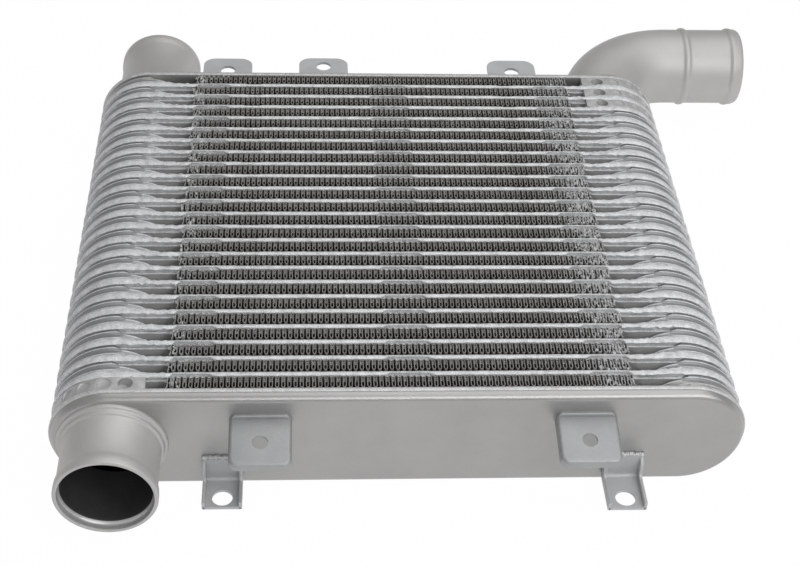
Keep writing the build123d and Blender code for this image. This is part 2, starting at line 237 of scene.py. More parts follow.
def section_edges(bm, points, closed):
    """A row of edges through a few points."""
    verts = [bm.verts.new(point) for point in points]
    edges = [bm.edges.new(pair) for pair in zip(verts, verts[1:])]
    if closed:
        edges.append(bm.edges.new((verts[-1], verts[0])))
    return verts + edges


def turn(bm, geometry, centre, axis, angle, steps, merge=False):
    """Draws faces round an axis, and returns the far end."""
    made = bmesh.ops.spin(bm, geom=geometry, cent=centre, axis=axis, angle=angle, steps=steps,
                          dvec=(0, 0, 0), use_merge=merge)
    return made["geom_last"]


def run(bm, geometry, step, steps):
    """Draws faces straight on, and returns the far end."""
    made = bmesh.ops.spin(bm, geom=geometry, cent=(0, 0, 0), axis=(0, 1, 0), angle=0,
                          steps=steps, dvec=step)
    return made["geom_last"]


def long_loop(bm, section, closed, arc_steps, straight_steps):
    """Sweeps a section round the core's outline.

    Each of its points is a distance from the header's axis and a y.
    """
    points = [(END_X, y, MID_Z - reach) for reach, y in section]
    geometry = section_edges(bm, points, closed)
    step = 2 * END_X / straight_steps
    geometry = turn(bm, geometry, HEADER_AXIS[1], (0, 1, 0), -math.pi, arc_steps)
    geometry = run(bm, geometry, (-step, 0, 0), straight_steps)
    geometry = turn(bm, geometry, HEADER_AXIS[-1], (0, 1, 0), -math.pi, arc_steps)
    run(bm, geometry, (step, 0, 0), straight_steps)
    bmesh.ops.remove_doubles(bm, verts=bm.verts, dist=ALMOST)


def ring(bm, radius, segments, centre):
    """A round of edges that faces along y."""
    place = Matrix.Translation(centre) @ Matrix.Rotation(math.pi / 2, 4, "X")
    made = bmesh.ops.create_circle(bm, cap_ends=False, radius=radius, segments=segments,
                                   matrix=place)
    return made["verts"]


def fill_flat(bm, y, holes=()):
    """Closes the open rim that lies at y, and leaves the given rings open."""
    edges = [edge for edge in bm.edges
             if edge.is_boundary and all(abs(vert.co.y - y) < ALMOST for vert in edge.verts)]
    for hole in holes:
        edges += hole
    bmesh.ops.triangle_fill(bm, use_beauty=True, use_dissolve=False, edges=edges,
                            normal=(0, 1, 0))


def pull(bm, edges, centre, scale, move):
    """Extrudes an edge ring, sizes it about the centre and moves it."""
    made = bmesh.ops.extrude_edge_only(bm, edges=edges)["geom"]
    verts = verts_in(made)
    known = set(verts)
    bmesh.ops.scale(bm, vec=scale, space=Matrix.Translation(-Vector(centre)), verts=verts)
    bmesh.ops.translate(bm, vec=move, verts=verts)
    return [edge for edge in edges_in(made) if known.issuperset(edge.verts)]


def block_between(bm, rings, y_from, y_to):
    """Walls drawn from closed rings at y_from to y_to, with both ends filled."""
    for outline in rings:
        made = bmesh.ops.extrude_edge_only(bm, edges=outline)["geom"]
        bmesh.ops.translate(bm, vec=(0, y_to - y_from, 0), verts=verts_in(made))
    fill_flat(bm, y_from)
    fill_flat(bm, y_to)


def box_shape(bm, size, centre):
    made = bmesh.ops.create_cube(bm, size=1.0)["verts"]
    bmesh.ops.scale(bm, vec=size, verts=made)
    bmesh.ops.translate(bm, vec=centre, verts=made)


def round_edges(bm, edges, offset, segments):
    bmesh.ops.bevel(bm, geom=edges, offset=offset, segments=segments, affect="EDGES",
                    profile=0.5, material=-1)


def stage_step(value, start, end):
    """0 before start, 1 after end and smooth between."""
    share = min(max((value - start) / (end - start), 0.0), 1.0)
    return share * share * (3 - 2 * share)


def roughen(verts, amount_at, size):
    """Moves points by a fixed noise of their place. Size is that of the noise's lumps."""
    for vert in verts:
        at = vert.co / size
        push = Vector((noise.noise(at), noise.noise(at + Vector((31, 7, 3))),
                       noise.noise(at + Vector((5, 19, 41)))))
        vert.co += push * amount_at(vert.co)


def lump_at(bm, place, radius, size=(1, 1, 1)):
    lump = bmesh.ops.create_icosphere(bm, subdivisions=2, radius=radius)["verts"]
    bmesh.ops.scale(bm, vec=size, verts=lump)
    bmesh.ops.translate(bm, vec=place, verts=lump)


def join(bm, other):
    """Moves the faces of one mesh in work into another."""
    mesh = bpy.data.meshes.new("joined")
    other.to_mesh(mesh)
    other.free()
    bm.from_mesh(mesh)
    bpy.data.meshes.remove(mesh)


def cut_out(solid, cutters):
    """Takes closed cutter shapes out of a closed shape, and returns what is left."""
    objects = []
    for bm in (solid, cutters):
        mesh = bpy.data.meshes.new("cutting")
        bmesh.ops.recalc_face_normals(bm, faces=bm.faces)
        bm.to_mesh(mesh)
        bm.free()
        shape = bpy.data.objects.new("cutting", mesh)
        bpy.context.scene.collection.objects.link(shape)
        objects.append(shape)
    modifier = objects[0].modifiers.new("cut", "BOOLEAN")
    modifier.operation = "DIFFERENCE"
    modifier.solver = "EXACT"
    modifier.object = objects[1]
    depsgraph = bpy.context.evaluated_depsgraph_get()
    result = bmesh.new()
    result.from_mesh(objects[0].evaluated_get(depsgraph).to_mesh())
    for shape in objects:
        bpy.data.objects.remove(shape)
    return result


def drill(bm, centre, radius):
    """An upright hole through a thin sheet."""
    cutter = bmesh.new()
    bmesh.ops.create_cone(cutter, cap_ends=True, segments=40, radius1=radius, radius2=radius,
                          depth=8, matrix=Matrix.Translation(centre))
    return cut_out(bm, cutter)


def add_piece(bm, name, node, materials, sharp, tidy=True):
    """Puts a finished shape in the scene. Node is the solid it stands for, if there is one."""
    if tidy:
        bmesh.ops.remove_doubles(bm, verts=bm.verts, dist=MERGE)
        bmesh.ops.recalc_face_normals(bm, faces=bm.faces)
    bmesh.ops.transform(bm, matrix=TO_ROW, verts=bm.verts)
    mesh = bpy.data.meshes.new(name)
    bm.to_mesh(mesh)
    bm.free()
    for material in materials:
        mesh.materials.append(material)
    mesh.shade_smooth()
    mesh.set_sharp_from_angle(angle=math.radians(sharp))
    piece = bpy.data.objects.new(name, mesh)
    bpy.context.scene.collection.objects.link(piece)
    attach(piece, "root")
    if node:
        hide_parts(node)


# Tubes

LIP_REACH = 38.0
LIP_HALF = 1.6
LIP_SECTION = [(33.0, -1.4), (36.3, -1.4), (36.55, -1.55), (37.0, -LIP_HALF), (37.5, -1.3),
               (37.85, -0.75), (LIP_REACH, 0.0), (37.85, 0.75), (37.5, 1.3), (37.0, LIP_HALF),
               (36.55, 1.55), (36.3, 1.4), (33.0, 1.4)]
LIP_STEPS = (26, 172)
LIP_WEB_REACH = 36.4
LIP_LUMP_SIZE = 2.6
# Where along the row the lip changes, how much wider it gets and how far it moves
PAST_FINS = (133.0, 138.0)
OVER_HEADER = (146.0, 167.0)
WIDER_PAST_FINS = 0.25
HEADER_HALF_SIDE, HEADER_HALF_TOP = 1.0, 3.0
LIP_SHIFT, PAST_FINS_SHIFT, HEADER_SHIFT = -0.3, -0.5, 1.3
NOTCHES = [(-136.5, -113.5), (-9.0, 18.0), (113.5, 136.5)]
NOTCH_Y = -0.5
BENDS = [(-99.0, -90.0), (88.0, 95.0)]
BEND_FADE = 2.5
BEND_THINNER, BEND_SHIFT = 0.35, -0.65
CRUST_GROWS, CRUST_ENDS = (134.0, 146.0), (166.0, 178.0)
CRUST_KEPT = 0.25
LUMPS, CRUST_LUMPS = 0.18, 0.75

BODY_SECTION = [(32.5, -TUBE_HALF), (32.9, -2.7), (33.4, -3.0), (34.0, -2.85), (34.25, -2.4),
                (34.05, -1.8), (33.4, -1.6), (33.4, 1.6), (34.05, 1.8), (34.25, 2.4),
                (34.0, 2.85), (33.4, 3.0), (32.9, 2.7), (32.5, TUBE_HALF)]
BODY_STEPS = (16, 86)
# Faces out past this reach, along the shoulder ridge, are painted bright as a highlight line
BODY_HIGHLIGHT_REACH = 33.0
FINS_REACH_X = 139.0
RIM_BESIDE_FINS = 1.9
HALF_BESIDE_FINS = 2.35

CUP_REACH = 36.9
CUP_INNER_REACH = 27.0
CUP_ROOT_INNER_REACH = 24.0
CUP_CORNER_POWER = 0.76
HOLE_SHARE = 28.0 / CUP_REACH
CUP_ROOT_Y = 2.2
CUP_MEETING_Y = 6.93
# Reach, y and how far the cup has spread towards the fins
CUP_STAGES = [(36.2, CUP_ROOT_Y, 0.0), (36.2, 3.5, 0.14), (36.3, 3.95, 0.26), (36.8, 4.2, 0.34),
              (36.9, 4.5, 0.42), (36.7, 4.85, 0.55), (36.62, 5.9, 0.9), (36.5, 6.45, 0.96),
              (36.3, CUP_MEETING_Y, 1.0)]
# Cup stages painted with the light braze material as highlight lines: the ridge, and the rim
# beside the fins
CUP_HIGHLIGHT_STAGES = (2, 3, 4)
CUP_RIM_HIGHLIGHT_STAGE = 7
# Material slots of a tube. Slot 1 is the lip's braze, and it also paints highlights on ridges.
PLATE, LIP_AND_HIGHLIGHT, FACE = 0, 1, 2


def reach_of(place):
    """Distance from the core's middle line, which runs between the two header axes."""
    return math.hypot(max(abs(place.x) - END_X, 0), place.z - MID_Z)


def shape_lip(verts):
    """The lip is thick over the headers, half cut away at its notches and bent at two places."""
    for vert in verts:
        x, y, z = vert.co
        past_fins = stage_step(abs(x), *PAST_FINS)
        over_header = stage_step(abs(x), *OVER_HEADER)
        height = min(abs(z - MID_Z) / LIP_REACH, 1.0)
        if reach_of(vert.co) > LIP_WEB_REACH:
            half = LIP_HALF + WIDER_PAST_FINS * past_fins
            on_header = HEADER_HALF_SIDE + (HEADER_HALF_TOP - HEADER_HALF_SIDE) * height ** 3
            half += over_header * (on_header - half)
            y = y * half / LIP_HALF + LIP_SHIFT
            y += PAST_FINS_SHIFT * past_fins + HEADER_SHIFT * over_header
        if any(start < x < end for start, end in NOTCHES):
            y = max(y, NOTCH_Y)
        for start, end in BENDS:
            bend = stage_step(x, start - BEND_FADE, start) - stage_step(x, end, end + BEND_FADE)
            y = y * (1 - BEND_THINNER * bend) + BEND_SHIFT * bend
        vert.co.y = y


def lip_roughness(place):
    """Braze metal makes the lip lumpy, most of all beside the headers."""
    beside_header = stage_step(abs(place.x), *CRUST_GROWS)
    on_header = stage_step(abs(place.x), *CRUST_ENDS)
    crusty = beside_header - (1 - CRUST_KEPT) * on_header
    return stage_step(reach_of(place), 36.0, 36.9) * (LUMPS + CRUST_LUMPS * crusty)


def hold_inside_reach(verts):
    """Pushes back what the lumps carried past the lip's reach."""
    for vert in verts:
        out = Vector((max(abs(vert.co.x) - END_X, 0), vert.co.z - MID_Z))
        if out.length > LIP_REACH:
            out *= LIP_REACH / out.length
            vert.co.z = MID_Z + out.y
            if abs(vert.co.x) > END_X:
                vert.co.x = math.copysign(END_X + out.x, vert.co.x)


def cup_ring(bm, side, y, reach, inner, inner_power):
    """Outline of a header cup: round outside, flatter towards the fins."""
    verts = ring(bm, 1.0, 56, (0, 0, 0))
    for vert in verts:
        across, up = vert.co.x * side, vert.co.z
        if across < -0.001:
            across = -inner * abs(across) ** inner_power
            up = math.copysign(reach * abs(up) ** CUP_CORNER_POWER, up)
        else:
            across, up = across * reach, up * reach
        vert.co = (side * (END_X + across), y, MID_Z + up)
    return edges_of(verts)


def hole_ring(bm, side, y):
    return cup_ring(bm, side, y, CUP_REACH * HOLE_SHARE, CUP_INNER_REACH * HOLE_SHARE,
                    CUP_CORNER_POWER)


def header_cup(bm, side, way):
    """One drawn cup: its flank slopes up to the rim, where the flange turns in to the air hole.

    way is -1 towards the front and 1 towards the rear.
    """
    rings = []
    for reach, y, spread_out in CUP_STAGES:
        inner = CUP_ROOT_INNER_REACH + spread_out * (CUP_INNER_REACH - CUP_ROOT_INNER_REACH)
        power = 2.0 + spread_out * (CUP_CORNER_POWER - 2.0)
        rings.append(cup_ring(bm, side, way * y, reach, inner, power))
    rings.append(hole_ring(bm, side, way * CUP_MEETING_Y))
    rings.append(hole_ring(bm, side, way * CUP_ROOT_Y))
    for stage, (near, far) in enumerate(zip(rings, rings[1:])):
        for face in bmesh.ops.bridge_loops(bm, edges=near + far)["faces"]:
            # The ridge stages, and the rim stage beside the fins, take the light braze material as
            # painted highlight lines.
            beside_fins = abs(face.calc_center_median().x) < END_X - 3
            painted_highlight = stage in CUP_HIGHLIGHT_STAGES or (stage == CUP_RIM_HIGHLIGHT_STAGE and beside_fins)
            face.material_index = LIP_AND_HIGHLIGHT if painted_highlight else PLATE


def has_cup(index, side, towards_front):
    """Spacers take the place of the cups in four gaps."""
    gap = index + 1 if towards_front else index
    return gap >= REAR_SPACER_COUNT if side > 0 else gap < TUBE_COUNT


def brazed_lip(middle_y):
    """The rim where a tube's two plates meet. Each tube has its own lumps."""
    bm = bmesh.new()
    long_loop(bm, LIP_SECTION, True, *LIP_STEPS)
    shape_lip(bm.verts)
    bmesh.ops.translate(bm, vec=(0, middle_y, 0), verts=bm.verts)
    roughen(bm.verts, lip_roughness, LIP_LUMP_SIZE)
    bmesh.ops.translate(bm, vec=(0, -middle_y, 0), verts=bm.verts)
    hold_inside_reach(bm.verts)
    for face in bm.faces:
        face.material_index = LIP_AND_HIGHLIGHT
    bmesh.ops.recalc_face_normals(bm, faces=bm.faces)
    return bm


def flat_body():
    """Both plates of a tube, with the holes of its headers and a ridge along its shoulders."""
    bm = bmesh.new()
    long_loop(bm, BODY_SECTION, False, *BODY_STEPS)
    for y in (-TUBE_HALF, TUBE_HALF):
        fill_flat(bm, y, [hole_ring(bm, side, y) for side in (-1, 1)])
    for face in bm.faces:
        # Painted highlight: the shoulder ridge takes the light braze material instead of the face
        # metal.
        ridge_highlight = reach_of(face.calc_center_median()) > BODY_HIGHLIGHT_REACH
        face.material_index = LIP_AND_HIGHLIGHT if ridge_highlight else FACE
    for vert in bm.verts:
        if abs(vert.co.x) < FINS_REACH_X and abs(vert.co.z - MID_Z) > 32.0:
            vert.co.z += math.copysign(RIM_BESIDE_FINS, vert.co.z - MID_Z)
            vert.co.y = min(max(vert.co.y, -HALF_BESIDE_FINS), HALF_BESIDE_FINS)
    return bm


def pressed_tube(index):
    bm = brazed_lip(row_y(index))
    body = flat_body()
    for side in (-1, 1):
        for way in (-1, 1):
            if has_cup(index, side, way < 0):
                header_cup(body, side, way)
    bmesh.ops.recalc_face_normals(body, faces=body.faces)
    join(bm, body)
    bmesh.ops.translate(bm, vec=(0, row_y(index), 0), verts=bm.verts)
    add_piece(bm, f"pressed_tube_{index + 1:02d}", f"tube_{index + 1:02d}",
              [plate_metal, lip_and_highlight_metal, face_metal], 35, tidy=False)


# Fin rows. Row 0 lies behind tube 0, next to the rear end plate.

FIN_HALF_LENGTH = 137.0
FIN_FOLDS = 77
FIN_LOW = 0.5
FIN_HIGH = 75.6
FIN_SHEET = 0.45
CLOSING_PLATE_ROOM = 1.6
FOLD_SHAPE = [(0.0, -1.0), (0.16, -0.97), (0.27, -0.86), (0.325, -0.64), (0.315, 0.0),
              (0.3, 0.7), (0.335, 0.88), (0.41, 0.97), (0.5, 1.0)]
CREST_SHARE = 0.8
CREST_SAG = 0.5
SLAT_PLACES = (0.72, 0.4)
SLAT_LENGTH = 0.95
SLAT_ANGLE = math.radians(25)
SLAT_BELOW_TOP = 1.7
FIN_UNEVEN, FIN_UNEVEN_SIZE = 0.2, 7.0


def fin_row_y(index):
    return row_y(index) + PITCH / 2


def fin_span(index):
    """Where a row starts and ends: the strips were cut to uneven lengths."""
    dice = random.Random(index * 5 + 1)
    return -FIN_HALF_LENGTH - dice.uniform(0.0, 2.6), FIN_HALF_LENGTH + dice.uniform(0.0, 2.4)


def fin_gap(index):
    """Middle and half of the room between the two tubes, measured to the sheet's middle."""
    rear = PITCH / 2 - (CLOSING_PLATE_ROOM if index == 0 else TUBE_HALF) - FIN_SHEET / 2
    front = -PITCH / 2 + (CLOSING_PLATE_ROOM if index == TUBE_COUNT else TUBE_HALF) + FIN_SHEET / 2
    return (rear + front) / 2, (rear - front) / 2


def louvre_slat(bm, pitch, place):
    slat = bmesh.ops.create_grid(bm, x_segments=1, y_segments=1, size=0.5)["verts"]
    bmesh.ops.scale(bm, vec=(0.5 * pitch, SLAT_LENGTH, 1), verts=slat)
    bmesh.ops.rotate(bm, cent=(0, 0, 0), matrix=Matrix.Rotation(SLAT_ANGLE, 3, "X"), verts=slat)
    bmesh.ops.translate(bm, vec=place, verts=slat)


def fin_row(index):
    """A sheet folded back and forth between two tubes, with two turned louvres in each fold."""
    middle, half = fin_gap(index)
    left, right = fin_span(index)
    pitch = (right - left) / FIN_FOLDS
    bm = bmesh.new()
    shape = [(x * pitch, middle + y * half) for x, y in FOLD_SHAPE]
    shape += [(pitch - x, y) for x, y in shape[-2::-1]]
    geometry = section_edges(bm, [(x + left, y, FIN_LOW) for x, y in shape], False)
    run(bm, geometry, (0, 0, FIN_HIGH - FIN_LOW), 1)
    bmesh.ops.solidify(bm, geom=bm.faces[:], thickness=FIN_SHEET)
    for vert in bm.verts:
        if vert.co.z > MID_Z and vert.co.y > middle + CREST_SHARE * half:
            vert.co.z -= CREST_SAG
    for along in SLAT_PLACES:
        louvre_slat(bm, pitch, (left, middle + along * half, FIN_HIGH - SLAT_BELOW_TOP))
    bmesh.ops.spin(bm, geom=bm.verts[:] + bm.edges[:] + bm.faces[:], cent=(0, 0, 0),
                   axis=(0, 0, 1), angle=0, steps=FIN_FOLDS - 1, dvec=(pitch, 0, 0),
                   use_duplicate=True)
    bmesh.ops.translate(bm, vec=(0, fin_row_y(index), 0), verts=bm.verts)
    roughen(bm.verts, lambda place: FIN_UNEVEN, FIN_UNEVEN_SIZE)
    add_piece(bm, f"folded_fins_{index + 1:02d}", f"fin_row_{index + 1:02d}",
              [fin_metal], 35, tidy=False)


# Flux left on the fins' ends

FLUX_TOP = 75.0
FLUX_NUB_TOP = 74.0
FLUX_RIGHT_FROM = 118.0
FLUX_LEFT_LENGTH = 8.0
NUB_FOLDS = 7


def flux_lumps(index):
    """White crust on the last folds, most of all on the right, and nubs in the left notch."""
    dice = random.Random(index * 7 + 3)
    middle_y = fin_row_y(index)
    middle, half = fin_gap(index)
    left, right = fin_span(index)
    pitch = (right - left) / FIN_FOLDS
    on_right = 0.3 + 2.0 * stage_step(index, 2, 6) * (1 - 0.8 * stage_step(index, 21, 23))
    on_left = 1.6 * (1 - 0.6 * stage_step(index, 6, 12))
    bm = bmesh.new()
    for start, end, per_mm, crowding in ((FLUX_RIGHT_FROM, right, on_right, 0.7),
                                         (left, left + FLUX_LEFT_LENGTH, on_left, 1.5)):
        for _ in range(int((end - start) * per_mm)):
            along = start + (end - start) * dice.random() ** crowding
            place = (along, middle_y + dice.uniform(-4.2, 4.2), FLUX_TOP + dice.uniform(-1.2, 0.3))
            lump_at(bm, place, dice.uniform(0.5, 1.0),
                    (dice.uniform(0.7, 1.1), dice.uniform(0.8, 2.5), 0.7))
    for fold in range(NUB_FOLDS):
        if dice.random() < 0.85 and index < TUBE_COUNT:
            place = (left + (fold + 0.5) * pitch, middle_y + middle + half - 0.5,
                     FLUX_NUB_TOP + dice.uniform(-0.3, 0.2))
            lump_at(bm, place, 0.9, (dice.uniform(0.75, 1.0), 0.6, dice.uniform(1.5, 1.8)))
    add_piece(bm, f"flux_on_fins_{index + 1:02d}", None, [flux_crust], 80,
              tidy=False)


# End plates

COVER_SECTION = [(33.0, -CLOSING_PLATE_HALF), (37.3, -1.5), (37.8, -1.2), (38.0, -0.6),
                 (38.0, 0.7), (37.8, 1.2), (37.3, 1.5), (36.9, 1.7), (36.75, 2.2), (36.6, 3.2),
                 (36.15, 4.25), (35.45, 5.15), (34.55, 5.9), (33.45, 6.35), (32.3, COVER_DEPTH)]
COVER_STEPS = (40, 40)
COVER_LIP_REACH = 37.4
PORT_OPENING = 26.9


def end_cover(name, lip_y, out, ports):
    """Closing plate and dished cover, brazed together. out is -1 in front and 1 at the rear."""
    bm = bmesh.new()
    long_loop(bm, [(reach, out * y) for reach, y in COVER_SECTION], False, *COVER_STEPS)
    inner, outer = -out * CLOSING_PLATE_HALF, out * COVER_DEPTH
    fill_flat(bm, inner, [hole_ring(bm, side, inner) for side in (-1, 1)])
    fill_flat(bm, outer, [edges_of(ring(bm, PORT_OPENING, 40, (x, outer, MID_Z)))
                          for x in ports])
    for face in bm.faces:
        on_lip = reach_of(face.calc_center_median()) > COVER_LIP_REACH
        face.material_index = LIP_AND_HIGHLIGHT if on_lip else PLATE
    cup_side = 1 if out < 0 else -1
    # The cup's ridge stages take the light weld material here as painted highlights.
    header_cup(bm, cup_side, -out)
    bmesh.ops.translate(bm, vec=(0, lip_y, 0), verts=bm.verts)
    add_piece(bm, f"dished_{name}", name, [cover_metal, weld_and_highlight_metal], 40)


# Pipes. Each section has distances from the pipe's axis, and along it.

PIPE_RADIUS = 29.4
PIPE_BORE = 26.75
STUB_SECTION = [(33.0, -0.6), (33.0, 1.5), (32.8, 1.9), (32.3, 2.15), (31.6, 2.4), (31.2, 2.8),
                (31.05, 3.5), (31.05, 4.5), (30.9, 5.0), (30.4, 5.3), (29.7, 5.5), (29.25, 6.1)]
# These lie back from the mouth
STUB_MOUTH = [(29.25, 10.0), (PIPE_RADIUS, 9.0), (29.8, 7.6), (30.2, 6.2), (30.35, 4.2),
              (30.35, 0.9), (29.9, 0.2), (29.0, 0.0), (28.0, 0.15), (27.6, 0.9), (28.0, 2.2),
              (28.1, 3.4), (27.6, 4.7), (26.8, 6.0), (PIPE_BORE, 8.0)]
STUB_ROOT = [(PIPE_BORE, -1.8), (30.0, -1.0)]
# Part of the bore inside the rolled bead that is painted near white as a highlight ring
MOUTH_HIGHLIGHT_RADIUS, MOUTH_HIGHLIGHT_FROM, MOUTH_HIGHLIGHT_TO = 28.3, 0.6, 6.5
# Inside this radius the stub's bore is painted near black as shade
INSIDE_RADIUS = 27.3


def hose_stub(name, x, face_y, out, length):
    """Straight stub with a stepped foot and a rolled bead at its mouth."""
    bm = bmesh.new()
    section = STUB_SECTION + [(reach, length - back) for reach, back in STUB_MOUTH] + STUB_ROOT
    points = [(x + reach, face_y + out * along, MID_Z) for reach, along in section]
    turn(bm, section_edges(bm, points, True), (x, face_y, MID_Z), (0, 1, 0), 2 * math.pi, 80,
         merge=True)
    for face in bm.faces:
        middle = face.calc_center_median()
        radius = math.hypot(middle.x - x, middle.z - MID_Z)
        back = length - out * (middle.y - face_y)
        # Painted highlight ring in the mouth's groove, then painted shade deeper in the bore.
        if radius < MOUTH_HIGHLIGHT_RADIUS and MOUTH_HIGHLIGHT_FROM < back < MOUTH_HIGHLIGHT_TO:
            face.material_index = 2
        elif radius < INSIDE_RADIUS:
            face.material_index = 1
    add_piece(bm, f"turned_{name}", name, [pipe_metal, bore_shade_metal, mouth_highlight_metal], 50)


ELBOW_BEND = 62.0
ELBOW_BEND_STEPS = 26
ELBOW_SEGMENTS = 64
ELBOW_LEAD = 5.0
ELBOW_ROOT = 1.5
ELBOW_RUN = [(29.4, 2.0), (29.4, 9.0), (29.6, 10.3), (30.5, 11.3), (30.85, 13.0), (30.5, 14.7),
             (29.6, 15.7), (29.4, 17.0), (29.4, 46.5), (29.6, 47.8), (30.5, 48.8),
             (30.85, 50.3), (30.75, 51.4), (30.4, 52.8), (30.0, 55.5), (29.3, 57.2),
             (28.8, 57.9), (28.0, 58.0), (27.2, 57.7), (26.9, 57.0), (26.8, 54.0),
             (27.6, 52.0), (27.6, 49.0), (PIPE_BORE, 47.0), (PIPE_BORE, 2.0)]
ELBOW_FOOT = [(35.0, 0.0), (34.8, 1.4), (33.4, 2.2), (31.6, 2.6), (30.4, 3.4), (29.5, 4.6),
              (29.0, 4.6), (29.0, -1.0)]


def outlet_elbow():
    """Bent pipe. A ring is pulled off the cover, turned through the bend and drawn out."""
    bm = bmesh.new()
    bend_y = REAR_FACE_Y + ELBOW_LEAD
    hub = (END_X + ELBOW_BEND, bend_y, 0)
    pipe_centre = (END_X + ELBOW_BEND, bend_y + ELBOW_BEND, MID_Z)
    walls = []
    for radius in (PIPE_RADIUS, PIPE_BORE):
        root = ring(bm, radius, ELBOW_SEGMENTS, (END_X, REAR_FACE_Y - ELBOW_ROOT, MID_Z))
        edges = pull(bm, edges_of(root), pipe_centre, (1, 1, 1), (0, ELBOW_LEAD + ELBOW_ROOT, 0))
        verts = list(dict.fromkeys(vert for edge in edges for vert in edge.verts))
        walls.append(edges_in(turn(bm, verts + edges, hub, (0, 0, 1), -math.pi / 2,
                                   ELBOW_BEND_STEPS)))
    edges, radius, along = walls[0], PIPE_RADIUS, 0.0
    for next_radius, next_along in ELBOW_RUN:
        size = next_radius / radius
        edges = pull(bm, edges, pipe_centre, (1, size, size), (next_along - along, 0, 0))
        radius, along = next_radius, next_along
    bmesh.ops.bridge_loops(bm, edges=edges + walls[1])
    points = [(END_X + reach, REAR_FACE_Y + out, MID_Z) for reach, out in ELBOW_FOOT]
    turn(bm, section_edges(bm, points, True), (END_X, REAR_FACE_Y, MID_Z), (0, 1, 0),
         2 * math.pi, ELBOW_SEGMENTS, merge=True)
    add_piece(bm, "drawn_outlet_elbow", "outlet_elbow", [pipe_metal], 50)


# Header spacers

SPACER_REACH = 37.2
SPACER_END_X = 151.0
SPACER_ARRIS = 0.3
SPACER_HOLES = 4
FIRST_HOLE_LEAN, HOLE_LEAN_STEP = -14, 19
HOLE_MOUTH, HOLE_FLOOR = 4.35, 4.0
DEEP_HOLE, SHALLOW_HOLE = 4.5, 1.1


def header_spacer(name, side, y_from, y_to):
    """Machined block round the header opening, with a row of blind holes in its rim."""
    bm = bmesh.new()
    start = bm.verts.new((side * END_X, y_from, MID_Z - SPACER_REACH))
    turn(bm, [start], HEADER_AXIS[side], (0, 1, 0), -side * math.pi, 40)
    arc_end = max(bm.verts, key=lambda v: v.co.z)
    low = bm.verts.new((side * SPACER_END_X, y_from, MID_Z - SPACER_REACH))
    high = bm.verts.new((side * SPACER_END_X, y_from, MID_Z + SPACER_REACH))
    for pair in ((arc_end, high), (high, low), (low, start)):
        bm.edges.new(pair)
    block_between(bm, [bm.edges[:], hole_ring(bm, side, y_from)], y_from, y_to)
    drills = bmesh.new()
    for step in range(SPACER_HOLES):
        lean = math.radians(FIRST_HOLE_LEAN + HOLE_LEAN_STEP * step)
        depth = DEEP_HOLE if step == 0 else SHALLOW_HOLE
        at = HEADER_AXIS[side] + Vector((side * SPACER_REACH * math.sin(lean),
                                         (y_from + y_to) / 2, SPACER_REACH * math.cos(lean)))
        place = Matrix.Translation(at) @ Matrix.Rotation(side * lean, 4, "Y")
        bmesh.ops.create_cone(drills, cap_ends=True, segments=28, radius1=HOLE_FLOOR,
                              radius2=HOLE_MOUTH, depth=2 * depth, matrix=place)
    bm = cut_out(bm, drills)
    sharp_edges = [edge for edge in bm.edges if edge.calc_face_angle(0) > 1.0]
    round_edges(bm, sharp_edges, SPACER_ARRIS, 2)
    add_piece(bm, f"drilled_{name}", name, [spacer_metal], 30)


# Brackets

SHEET = 2.0
SHELF_WIDTH, SHELF_REACH, SHELF_DEPTH = 36.8, 34.0, 6.0
SHELF_BEND_Y, SHELF_BEND = -10.0, math.radians(5)
SHELF_LEAN = math.radians(12)
SHELF_TOP = 60.8
SHELF_HOLE_Y, SHELF_HOLE = -18.5, 4.65
SHELF_CORNER, SHELF_RIM = 5.0, 2.4
SHELF_FLANGE_WIDTH, SHELF_FLANGE_HEIGHT, SHELF_FLANGE_MIDDLE = 33.8, 4.8, 59.8


def shelf_bracket(name, x):
    """Tray on the front cover: it slopes down, with its sides and front turned down."""
    bm = bmesh.new()
    box_shape(bm, (SHELF_WIDTH, SHELF_REACH, SHELF_DEPTH), (0, -SHELF_REACH / 2, -SHELF_DEPTH / 2))
    corners = edges_where(bm, lambda a, b: abs(a.z - b.z) > 1 and a.y < -1)
    round_edges(bm, corners, SHELF_CORNER, 6)
    rim = edges_where(bm, lambda a, b: min(a.z, b.z) > -ALMOST and min(a.y, b.y) < -ALMOST)
    round_edges(bm, rim, SHELF_RIM, 5)
    open_faces = [face for face in bm.faces if face.normal.z < -0.9 or face.normal.y > 0.9]
    bmesh.ops.delete(bm, geom=open_faces, context="FACES")
    bmesh.ops.recalc_face_normals(bm, faces=bm.faces)
    bmesh.ops.solidify(bm, geom=bm.faces[:], thickness=SHEET)
    bm = drill(bm, (0, SHELF_HOLE_Y, -SHEET / 2), SHELF_HOLE)
    bmesh.ops.bisect_plane(bm, geom=bm.verts[:] + bm.edges[:] + bm.faces[:], dist=0.001,
                           plane_co=(0, SHELF_BEND_Y, 0), plane_no=(0, 1, 0))
    for vert in bm.verts:
        if vert.co.y > SHELF_BEND_Y:
            vert.co.z -= (vert.co.y - SHELF_BEND_Y) * math.tan(SHELF_BEND)
    lean = Matrix.Translation((x, FRONT_FACE_Y, SHELF_TOP)) @ Matrix.Rotation(SHELF_LEAN, 4, "X")
    bmesh.ops.transform(bm, matrix=lean, verts=bm.verts)
    join(bm, shelf_flange(x))
    add_piece(bm, f"folded_{name}", name, [bracket_metal], 30)


